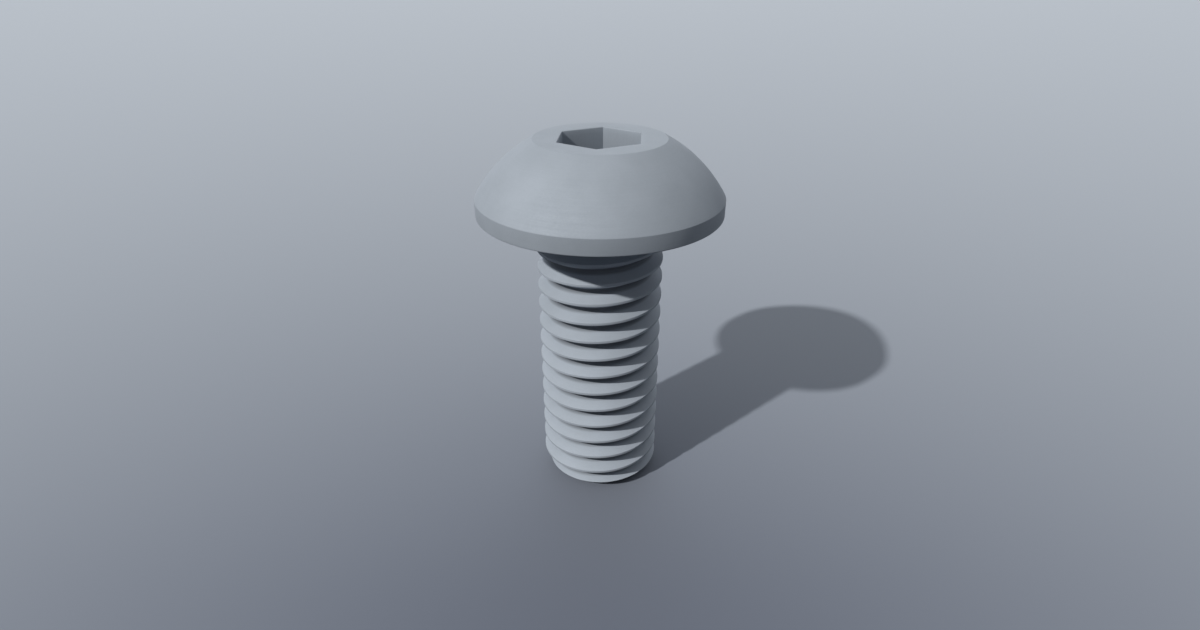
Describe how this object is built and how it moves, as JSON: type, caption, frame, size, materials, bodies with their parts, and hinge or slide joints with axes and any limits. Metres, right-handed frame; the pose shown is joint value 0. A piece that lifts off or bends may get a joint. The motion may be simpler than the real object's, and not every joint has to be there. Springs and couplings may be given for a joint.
{
  "type": "button head screw",
  "caption": "Hexagon socket button head machine screw with a metric thread that runs up to the head and a chamfered tip.",
  "frame": {"origin": "centre of the bearing plane under the head, from which the shank's length is counted", "axes": "+Z along the screw's axis, from the tip towards the head; +Y towards a corner of the socket, 4 degrees past it"},
  "size_m": [0.0094, 0.0094, 0.0147],
  "materials": {
    "steel": "plain satin steel, turned and rolled"
  },
  "bodies": {
    "root": {"button_head_screw": "steel"}
  },
  "joints": []
}
